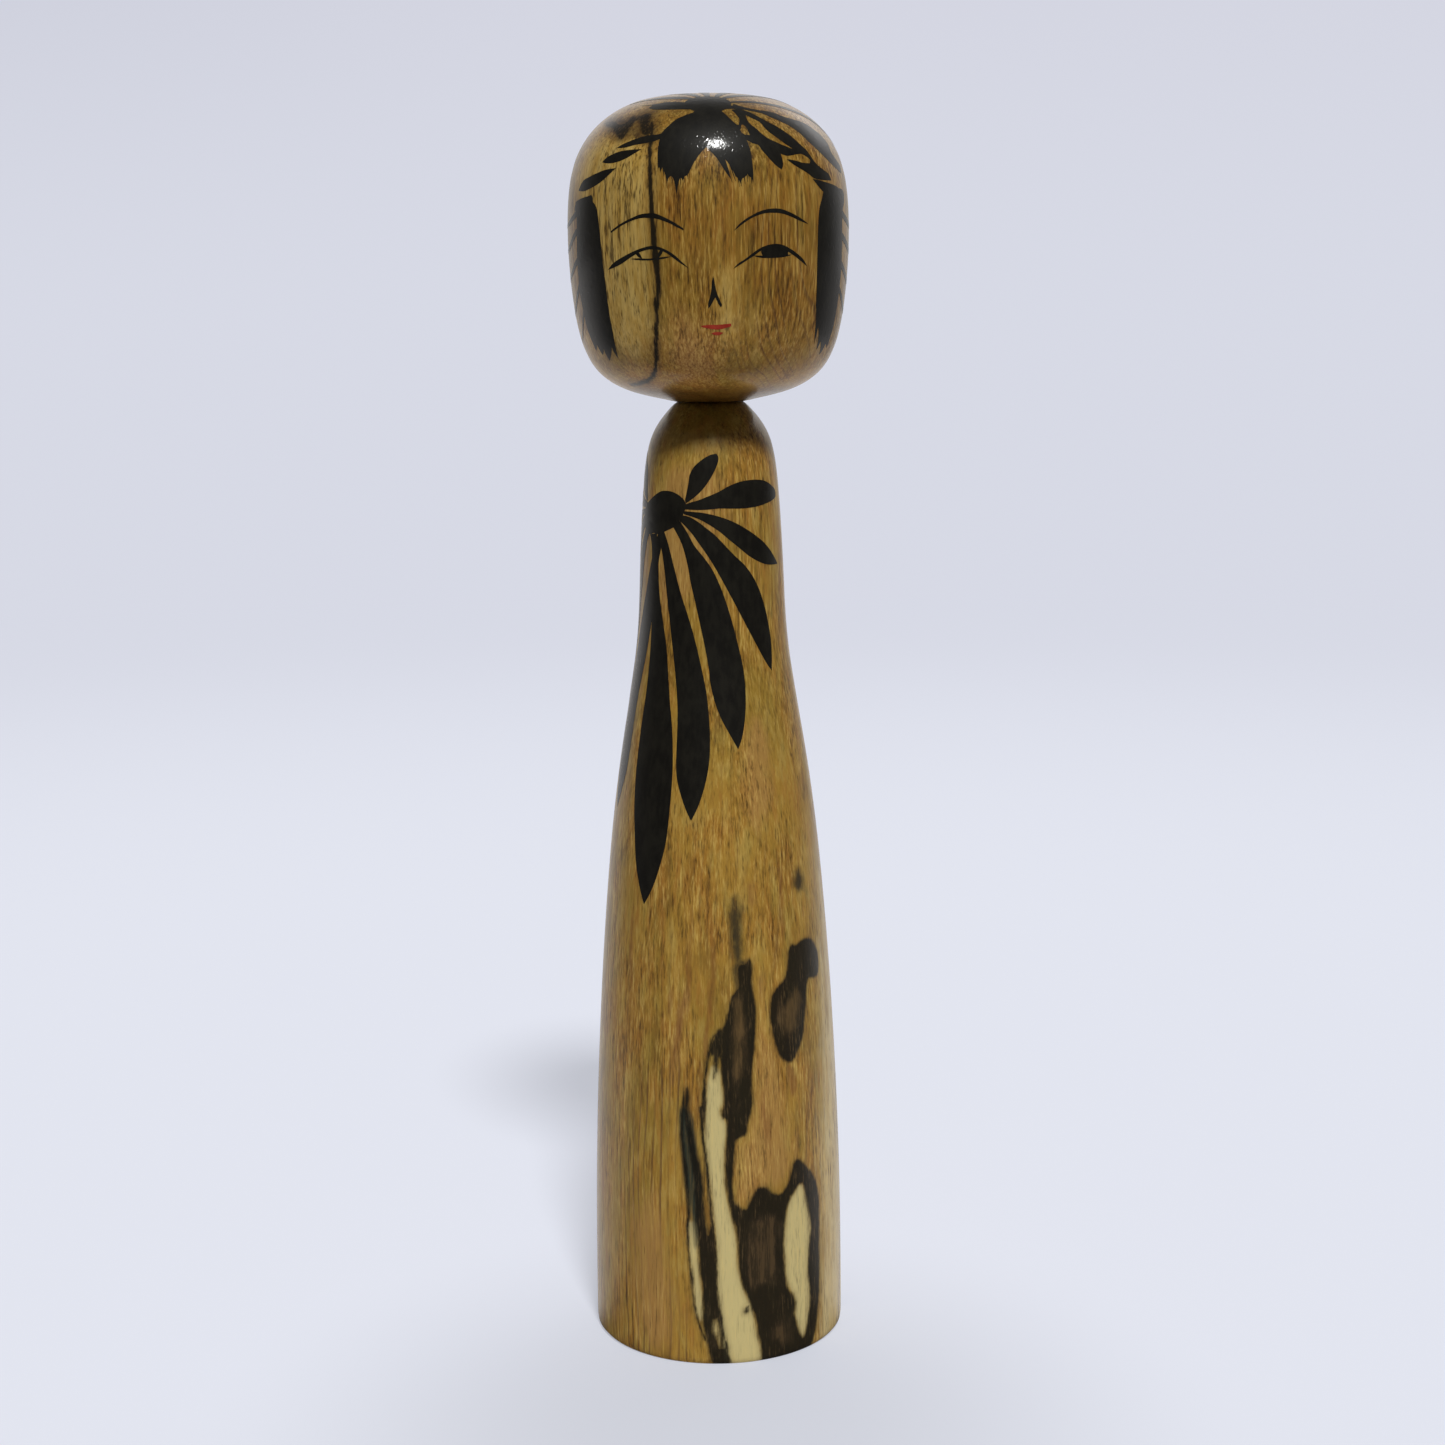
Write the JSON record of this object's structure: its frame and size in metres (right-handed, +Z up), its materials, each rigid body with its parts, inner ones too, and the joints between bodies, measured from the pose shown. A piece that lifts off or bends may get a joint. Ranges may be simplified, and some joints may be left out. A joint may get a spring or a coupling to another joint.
{
  "type": "kokeshi doll",
  "caption": "Turned wooden doll: slim waisted body on a flat base, with a large round head that twists on its neck tenon.",
  "frame": {"origin": "centre of the flat base, on the surface that the doll stands on", "axes": "+Z up along the turning axis, +X to the viewer's right; the painted face looks along -Y"},
  "size_m": [0.0532, 0.0532, 0.2415],
  "materials": {
    "body_wood": "glossy varnish over spalted hardwood, with brushed black painting",
    "head_wood": "glossy varnish over spalted hardwood, with brushed black painting"
  },
  "bodies": {
    "body": {"body": "body_wood"},
    "head": {"head": "head_wood"}
  },
  "joints": [
    {"name": "head_turn", "type": "hinge", "parent": "body", "child": "head", "pos_m": [0, 0, 0.18465], "axis": [0, 0, 1], "continuous": true}
  ]
}
